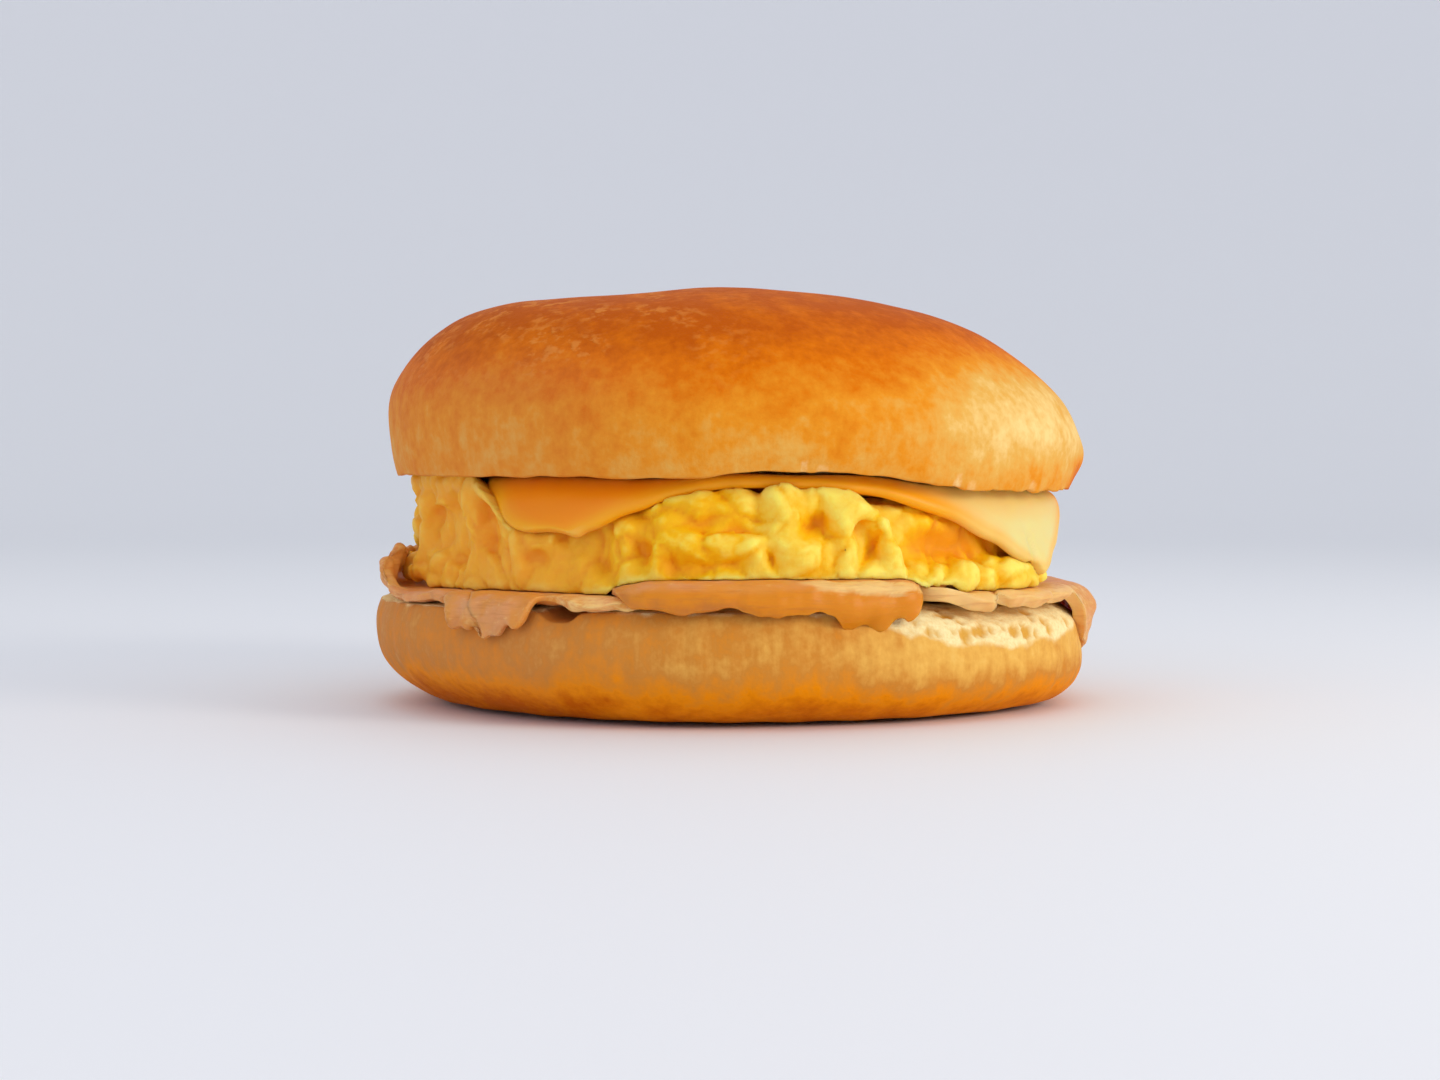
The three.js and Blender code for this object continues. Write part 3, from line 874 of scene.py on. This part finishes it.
eggSettings = {
    "coreInset": 2.0,
    "coreCells": (25, 180),       # rows and columns
    "topGap": 0.4,                # between the core and the top bun's cut face
    "spacing": 5,                 # loose curds: how close, and their half sizes
    "smallest": (2.6, 2.0, 1.3),
    "largest": (5.6, 4.4, 2.2),
    "warp": 2.4,                  # how far their forms are drawn about, and over what length
    "warpSize": 7,
    "seed": 3,
    "voxel": 0.51,
    "soften": 7,                  # rounds of averaging
    "cavityRounds": 14,           # the same, to tell hollows from ridges
    "curds": [(6.4, 1.5, 0.8), (2.6, 0.6, 0.2), (1.3, 0.4, 0.06)],   # size, crease width and depth
    "clearance": 0.25,            # to what lies round it
    "foldUneven": (0.85, 0.3),    # least share of a fold's radius, and the most that chance adds
    # Folds at the front: points (to the right, above the base), radius, and reach past the egg's side
    "folds": [
        ([(-44.6, 31.5), (-45, 26), (-44, 20.5)], 2.4, 0.2),
        ([(-47, 32.6), (-43, 32.6), (-33.5, 32)], 2.0, 0.2),
        ([(-38.4, 31.6), (-37.6, 28), (-36.4, 24.4)], 2.3, 0.3),
        ([(-34.4, 31), (-31.6, 27), (-28.6, 22)], 1.7, 0.9),
        ([(-43, 21.4), (-41.5, 21)], 2.3, 0.2),
        ([(-45, 19.6), (-44.6, 20.4)], 2.0, 1.8),
        ([(-46.4, 19.2), (-46.7, 20.6)], 2.2, 2.2),
        ([(-36.4, 21.6), (-34.5, 20.8)], 2.3, 0.2),
        ([(-43.5, 18.9), (-36, 18.6), (-29, 18.5), (-17, 18.4)], 2.1, 1.0),
        ([(-30.6, 19), (-29.6, 21.4), (-27.6, 23.5), (-24.8, 24.4)], 1.5, 0.6),
        ([(-25.6, 20.8), (-24, 20.2)], 3.0, 0.2),
        ([(-20.8, 21), (-19.8, 19.6)], 3.0, 0.2),
        ([(-14.4, 25.2), (-14.2, 21.5), (-14.4, 18)], 2.3, 0.5),
        ([(-9.6, 23.6), (-9.8, 18.6)], 1.7, 0.8),
        ([(-9.4, 24.2), (-3, 24.1), (3.4, 23.7)], 2.0, 1.2),
        ([(-10, 28.6), (-4.6, 29), (1, 28.6)], 3.2, -0.5),
        ([(-7.4, 21.2), (1, 20.6), (6, 20.4)], 2.6, -0.5),
        ([(7.4, 30.2), (8.4, 28.4), (6.8, 25.6)], 2.6, 0.6),
        ([(13, 30.1), (16.4, 29.8)], 2.5, -0.1),
        ([(9, 23.4), (11.6, 22.8)], 3.0, 0.8),
        ([(15.4, 28.4), (16.2, 26), (16.4, 23)], 1.5, 0.9),
        ([(17.8, 29.3), (21.2, 27.3), (22.8, 23.6), (24.1, 19.2)], 1.4, 1),
        ([(15.5, 20.2), (19.5, 19.9), (22.4, 19.6)], 2.3, 0.6),
        ([(26.6, 27.6), (31, 26)], 2.8, -1.2),
        ([(-12, 19.4), (-4, 19.6), (8, 19.8), (24, 19.6)], 1.5, 0.8),
        ([(-17, 18), (-14, 17.8)], 1.7, 0.9),
        ([(26.6, 19.8), (30.6, 19.6)], 2.1, 0.5),
        ([(32.6, 20), (36.4, 19.4)], 2.2, 1.6),
        ([(36.8, 20.4), (39.6, 20.6)], 2.0, 1.4),
        ([(39.4, 19.5), (43.6, 19.6)], 2.4, 2.2),
        ([(25.5, 18.6), (33, 18.4), (41, 18.4)], 1.6, 1.2),
    ],
    # Hollows at the front: place, half width, half height and depth
    "hollows": [
        (-41.4, 27.9, 0.9, 1.9, 1.0),
        (-32.9, 24.6, 1.4, 1.6, 1.2),
        (-38.8, 19.4, 1.4, 0.9, 1.0),
        (-26.2, 22.4, 1.5, 0.9, 0.8),
        (-22.4, 25.0, 0.9, 0.9, 0.8),
        (-10.9, 23.0, 0.7, 1.5, 1.0),
        (11.6, 27.2, 1.3, 1.2, 0.8),
        (19.2, 24.2, 1.2, 2.4, 0.8),
        (28.6, 24.4, 3.4, 2.2, 1.0),
    ],
    # Painted light and shade: how light it is, darker in cavities, hollows, creases and the pocket under
    # the cheese, where shade falls, and lighter on ridges and towards the right, where the light falls
    "light": {"level": 0.52, "cavity": -0.4, "ridgeHighlight": 0.42, "hollow": -0.22, "crease": -0.2,
              "right": 0.24, "pocketShade": -0.5},
    # share of painted warm shade on the left side
    "tanShadeShare": 0.55,
    # tones for the painted light: deep orange in painted shade, pale in painted highlights, both also
    # reached by random tone
    "deepShadeTone": colour(242, 156, 0),
    "yellow": colour(255, 193, 10),
    "paleLitTone": colour(255, 229, 104),
    # colour of the painted warm shade
    "tan": colour(248, 166, 70),
}


# A point on the egg's front side
def onEgg(x, z, out):
    share = np.clip((x - roll["eggShift"]) / (roll["eggWidth"] / 2), -0.995, 0.995)
    angle = -math.acos(share)
    reach = eggRadius(angle) + out
    return Vector((roll["eggShift"] + reach * math.cos(angle), reach * math.sin(angle), z))


# Geometry Nodes: curds scattered over the core where it is loose, warped together with it
def curdTree():
    lean = 0.7      # radians, the most that a curd tips over
    dense = 1e6     # more than the spacing lets through
    tree = bpy.data.node_groups.new("curdHeap", "GeometryNodeTree")
    tree.interface.new_socket("Core", in_out="INPUT", socket_type="NodeSocketGeometry")
    inputs = {}
    for name, kind in (("Spacing", "Float"), ("Smallest", "Vector"), ("Largest", "Vector"),
                       ("Warp", "Float"), ("Warp size", "Float"), ("Seed", "Int"), ("Finish", "Material")):
        socket = tree.interface.new_socket(name, in_out="INPUT", socket_type="NodeSocket" + kind)
        inputs[name] = socket.identifier
    tree.interface.new_socket("Heap", in_out="OUTPUT", socket_type="NodeSocketGeometry")
    entry = tree.nodes.new("NodeGroupInput")
    given = {socket.name: Wire(tree, socket) for socket in entry.outputs if socket.name}
    loose = addNode(tree, "GeometryNodeInputNamedAttribute", {"data_type": "FLOAT"}, {"Name": "loose"})
    spots = addNode(tree, "GeometryNodeDistributePointsOnFaces", {"distribute_method": "POISSON"}, {
        "Mesh": given["Core"], "Distance Min": given["Spacing"], "Density Max": dense,
        "Density Factor": loose, "Seed": given["Seed"]})
    upright = Wire(tree, spots.socket.node.outputs["Rotation"])
    tilt = addNode(tree, "FunctionNodeRandomValue", {"data_type": "FLOAT_VECTOR"}, {
        0: (-lean, -lean, 0), 1: (lean, lean, math.tau), "Seed": given["Seed"]})
    turn = addNode(tree, "FunctionNodeRotateRotation", {"rotation_space": "LOCAL"}, {0: upright, 1: tilt})
    size = addNode(tree, "FunctionNodeRandomValue", {"data_type": "FLOAT_VECTOR"}, {
        0: given["Smallest"], 1: given["Largest"], "Seed": given["Seed"]})
    ball = addNode(tree, "GeometryNodeMeshIcoSphere", None, {"Radius": 1, "Subdivisions": 2})
    curds = addNode(tree, "GeometryNodeInstanceOnPoints", None, {
        "Points": spots, "Instance": ball, "Rotation": turn, "Scale": size})
    heap = addNode(tree, "GeometryNodeJoinGeometry", None, {"Geometry": curds})
    tree.links.new(given["Core"].socket, heap.socket.node.inputs["Geometry"])
    heap = addNode(tree, "GeometryNodeRealizeInstances", None, {"Geometry": heap})
    place = addNode(tree, "ShaderNodeVectorMath", {"operation": "DIVIDE"}, {
        0: addNode(tree, "GeometryNodeInputPosition"), 1: given["Warp size"]})
    wave = addNode(tree, "ShaderNodeTexNoise", None, {
        "Vector": place, "Scale": 1, "Detail": 1}, out="Color")
    wave = addNode(tree, "ShaderNodeVectorMath", {"operation": "SUBTRACT"}, {0: wave, 1: (0.5, 0.5, 0.5)})
    wave = addNode(tree, "ShaderNodeVectorMath", {"operation": "SCALE"}, {0: wave, "Scale": given["Warp"]})
    heap = addNode(tree, "GeometryNodeSetPosition", None, {"Geometry": heap, "Offset": wave})
    heap = addNode(tree, "GeometryNodeSetMaterial", None, {"Geometry": heap, "Material": given["Finish"]})
    result = tree.nodes.new("NodeGroupOutput")
    tree.links.new(heap.socket, result.inputs["Heap"])
    return tree, inputs


def eggFinish(s):
    f = Finish("scrambledEgg")
    cloud = f.noise(6, 3, 0.55)
    fine = f.noise(1.1, 3, 0.6, shift=5)
    # the mask "out" is painted light and shade; the noise adds tone that differs at random
    out = f.mask("out") + (cloud - 0.5) * 0.55 + (fine - 0.5) * 0.35
    tone = f.ramp(out, [(0.05, s["deepShadeTone"]), (0.5, s["yellow"]), (0.95, s["paleLitTone"])])
    # painted warm shade on the left side
    tone = f.mix(f.mask("tan"), tone, s["tan"])
    f.set({
        "Base Color": tone,
        "Roughness": 0.46 + fine * 0.2,
        "Specular IOR Level": 0.2,
        "Subsurface Weight": 0.6,
        "Subsurface Radius": (0.8, 0.65, 0.2),
        "Subsurface Scale": 3 * mm,
        "Normal": f.bump(fine, 0.24, 0.6),
    })
    return f.material


# The egg's core: a drum with round edges, loose only at its side
def eggCore(s):
    rows, columns = s["coreCells"]
    turns = np.linspace(-math.pi, math.pi, columns, endpoint=False)
    height, angle = np.meshgrid(np.linspace(-1, 1, rows), turns, indexing="ij")
    share = (1 - np.abs(height) ** 5) ** 0.3
    reach = share * (eggRadius(angle) - s["coreInset"])
    x, y = roll["eggShift"] + reach * np.cos(angle), reach * np.sin(angle)
    top = cutLevel(x) - s["topGap"]
    points = np.stack([x, y, roll["eggBase"] + (top - roll["eggBase"]) * (height + 1) / 2], -1)
    front = smooth(-np.sin(angle), 0.1, 0.3)
    loose = smooth(share, 0.8, 0.95) * (1 - 0.75 * np.maximum(front, near(angle, -8, 26)))
    return gridPiece("scrambledEgg", points, {"loose": loose}, True)


# Averages each point with its neighbours, a few rounds over
def relax(mesh, points, rounds):
    ends = np.empty(len(mesh.edges) * 2, dtype=np.int64)
    mesh.edges.foreach_get("vertices", ends)
    first, second = ends.reshape(-1, 2).T
    count = len(points)
    shares = np.bincount(first, minlength=count) + np.bincount(second, minlength=count)
    for _ in range(rounds):
        sums = [np.bincount(first, points[second, k], count) + np.bincount(second, points[first, k], count)
                for k in range(3)]
        points = np.stack(sums, 1) / shares[:, None]
    return points


# Keeps the main mass and drops the specks that melting leaves beside it and in it
def dropSpecks(mesh):
    shape = bmesh.new()
    shape.from_mesh(mesh)
    loose, shells = set(shape.verts), []
    while loose:
        shell, waiting = [], [loose.pop()]
        while waiting:
            corner = waiting.pop()
            shell.append(corner)
            found = {edge.other_vert(corner) for edge in corner.link_edges} & loose
            loose -= found
            waiting += found
        shells.append(shell)
    for shell in sorted(shells, key=len)[:-1]:
        bmesh.ops.delete(shape, geom=shell, context="VERTS")
    shape.to_mesh(mesh)
    shape.free()


# Draws points that lie in or past other pieces back in front of them, along lines from inside the egg
def fitInside(points, obstacles, clearance):
    corners, faces = [], []
    for piece in obstacles:
        faces += [[i + len(corners) for i in face.vertices] for face in piece.data.polygons]
        corners += readPoints(piece.data).tolist()
    tree = BVHTree.FromPolygons(corners, faces)
    middle = (roll["eggBase"] + roll["cutHeight"]) / 2
    for i, point in enumerate(points):
        inner = Vector((roll["eggShift"] + 0.75 * (point[0] - roll["eggShift"]), 0.75 * point[1], middle))
        way = Vector(point) - inner
        hit, _, _, distance = tree.ray_cast(inner, way.normalized(), way.length + clearance)
        if hit:
            points[i] = inner + way.normalized() * max(0, distance - clearance)


# 1 along the creases between rounded lumps of about that size, 0 inside the lumps
def creases(points, cell, width, seed):
    shift = np.stack([field(points, 1.4 * cell, seed + k) for k in range(3)], 1)
    places = (points + 0.7 * cell * shift) / cell + seed
    spans = np.array([noise.voronoi(place)[0][:2] for place in places.tolist()])
    return np.exp(-(spans[:, 1] - spans[:, 0]) * cell / width)


def makeEgg(s):
    piece = eggCore(s)
    finish = eggFinish(s)
    tree, inputs = curdTree()
    heap = piece.modifiers.new("curds", "NODES")
    heap.node_group = tree
    values = {"Spacing": s["spacing"] * mm, "Smallest": [v * mm for v in s["smallest"]],
              "Largest": [v * mm for v in s["largest"]], "Warp": s["warp"] * mm,
              "Warp size": s["warpSize"] * mm, "Seed": s["seed"], "Finish": finish}
    for name, value in values.items():
        heap[inputs[name]] = value
    settle(piece)
    draw = np.random.default_rng(s["seed"])
    least, more = s["foldUneven"]
    shape = bmesh.new()
    shape.from_mesh(piece.data)
    for path, radius, out in s["folds"]:
        ends = [onEgg(x, z, out - radius) for x, z in path]
        for start, end in zip(ends, ends[1:]):
            count = max(2, round((end - start).length / (0.5 * radius)))
            for k in range(count + 1):
                place = start.lerp(end, k / count) * mm
                size = radius * mm * (least + more * draw.random())
                bmesh.ops.create_icosphere(shape, subdivisions=2, radius=size,
                                           matrix=Matrix.Translation(place))
    shape.to_mesh(piece.data)
    shape.free()
    melt = piece.modifiers.new("melt", "REMESH")
    melt.voxel_size = s["voxel"] * mm
    settle(piece)
    dropSpecks(piece.data)
    points = relax(piece.data, readPoints(piece.data), s["soften"])
    angle = np.arctan2(points[:, 1], points[:, 0] - roll["eggShift"])
    outward = np.stack([np.cos(angle), np.sin(angle), 0 * angle], 1)
    hollow = np.zeros(len(points))
    for x, z, halfWidth, halfHeight, depth in s["hollows"]:
        bowl = np.exp(-((points[:, 0] - x) / halfWidth) ** 2 - ((points[:, 2] - z) / halfHeight) ** 2)
        hollow += bowl * depth * (points[:, 1] < 0)
    points -= outward * hollow[:, None]
    writePoints(piece.data, points)
    normals, split = readNormals(piece.data), np.zeros(len(points))
    for cell, width, depth in s["curds"]:
        crease = creases(points, cell, width, s["seed"] + cell)
        points += normals * (depth * (0.35 - crease))[:, None]
        split += depth * crease
    fitInside(points, [cheeseSlice, topBun, bottomBun, *meatPieces], s["clearance"])
    writePoints(piece.data, points)
    averaged = relax(piece.data, points, s["cavityRounds"])
    cavity = ((averaged - points) * readNormals(piece.data)).sum(1)
    # Painted light and shade: darker in cavities, hollows, creases and the pocket under the cheese's right
    # corner, lighter on ridges and towards the right
    light = s["light"]
    out = light["level"] + light["cavity"] * smooth(cavity, 0, 0.9)
    out += light["ridgeHighlight"] * smooth(-cavity, 0.1, 0.7) + light["hollow"] * hollow + light["crease"] * split
    out += light["right"] * smooth(points[:, 0], -6, 8)
    out += light["pocketShade"] * smooth(points[:, 0], 23, 27) * smooth(points[:, 2], 21, 23.5)
    # painted warm shade on the left side, less of it in the painted shade of hollows
    tan = s["tanShadeShare"] * smooth(points[:, 0], -6, -30) * smooth(points[:, 1], 20, -10)
    writeMasks(piece.data, {
        "out": np.clip(out, 0, 1),
        "tan": tan * (0.55 + 0.45 * smooth(out, 0.1, 0.5)),
    })
    finishPiece(piece, finish, "scrambled_egg")
    return piece


scrambledEgg = makeEgg(eggSettings)
print("egg heaped", len(scrambledEgg.data.polygons))

# Studio, in metres

studio = {
    "floorTone": colour(242, 243, 248),
    "floorRadius": 0.9,
    "wallRadius": 0.5,            # of the bend up into the wall
    "turns": 64,
    "bendSteps": 10,
    "worldTone": (0.92, 0.95, 1.0, 1),
    "worldStrength": 0.72,
    "lights": {
        "key": {"place": (0.5, -0.3, 0.22), "size": 0.22, "power": 1.45, "tone": (1, 0.92, 0.8)},
        "fill": {"place": (-0.45, -0.5, 0.25), "size": 0.5, "power": 0.54, "tone": (0.92, 0.97, 1.15)},
        "top": {"place": (0.0, 0.15, 0.6), "size": 0.5, "power": 0.3, "tone": (1, 0.98, 0.95)},
    },
}


def makeFloor(s):
    profile = [(0, 0), (s["floorRadius"], 0)]
    for k in range(1, s["bendSteps"] + 1):
        angle = k / s["bendSteps"] * math.pi / 2
        out, up = math.sin(angle), 1 - math.cos(angle)
        profile.append((s["floorRadius"] + s["wallRadius"] * out, s["wallRadius"] * up))
    shape = bmesh.new()
    corners = [shape.verts.new((radius, 0, height)) for radius, height in profile]
    for first, second in zip(corners, corners[1:]):
        shape.edges.new((first, second))
    bmesh.ops.spin(shape, geom=shape.verts[:] + shape.edges[:], axis=(0, 0, 1), cent=(0, 0, 0),
                   angle=math.tau, steps=s["turns"])
    bmesh.ops.remove_doubles(shape, verts=shape.verts, dist=mm)
    bmesh.ops.recalc_face_normals(shape, faces=shape.faces)
    mesh = bpy.data.meshes.new("studioFloor")
    shape.to_mesh(mesh)
    shape.free()
    floor = newPiece("studioFloor", mesh)
    mesh.polygons.foreach_set("use_smooth", [True] * len(mesh.polygons))
    f = Finish("paleFloor")
    f.set({"Base Color": s["floorTone"], "Roughness": 0.7})
    mesh.materials.append(f.material)


def makeLights(s):
    for name, light in s["lights"].items():
        lamp = bpy.data.lights.new(name, "AREA")
        lamp.size = light["size"]
        lamp.energy = light["power"]
        lamp.color = light["tone"]
        holder = bpy.data.objects.new(name, lamp)
        holder.location = light["place"]
        aim = Vector((0, 0, roll["cutHeight"] * mm)) - holder.location
        holder.rotation_euler = aim.to_track_quat("-Z", "Y").to_euler()
        scene.collection.objects.link(holder)
    world = bpy.data.worlds.new("studioWorld")
    world.use_nodes = True
    sky = world.node_tree.nodes["Background"]
    sky.inputs["Color"].default_value = s["worldTone"]
    sky.inputs["Strength"].default_value = s["worldStrength"]
    scene.world = world
    scene.view_settings.view_transform = "Standard"


makeFloor(studio)
makeLights(studio)
print("studio lit")
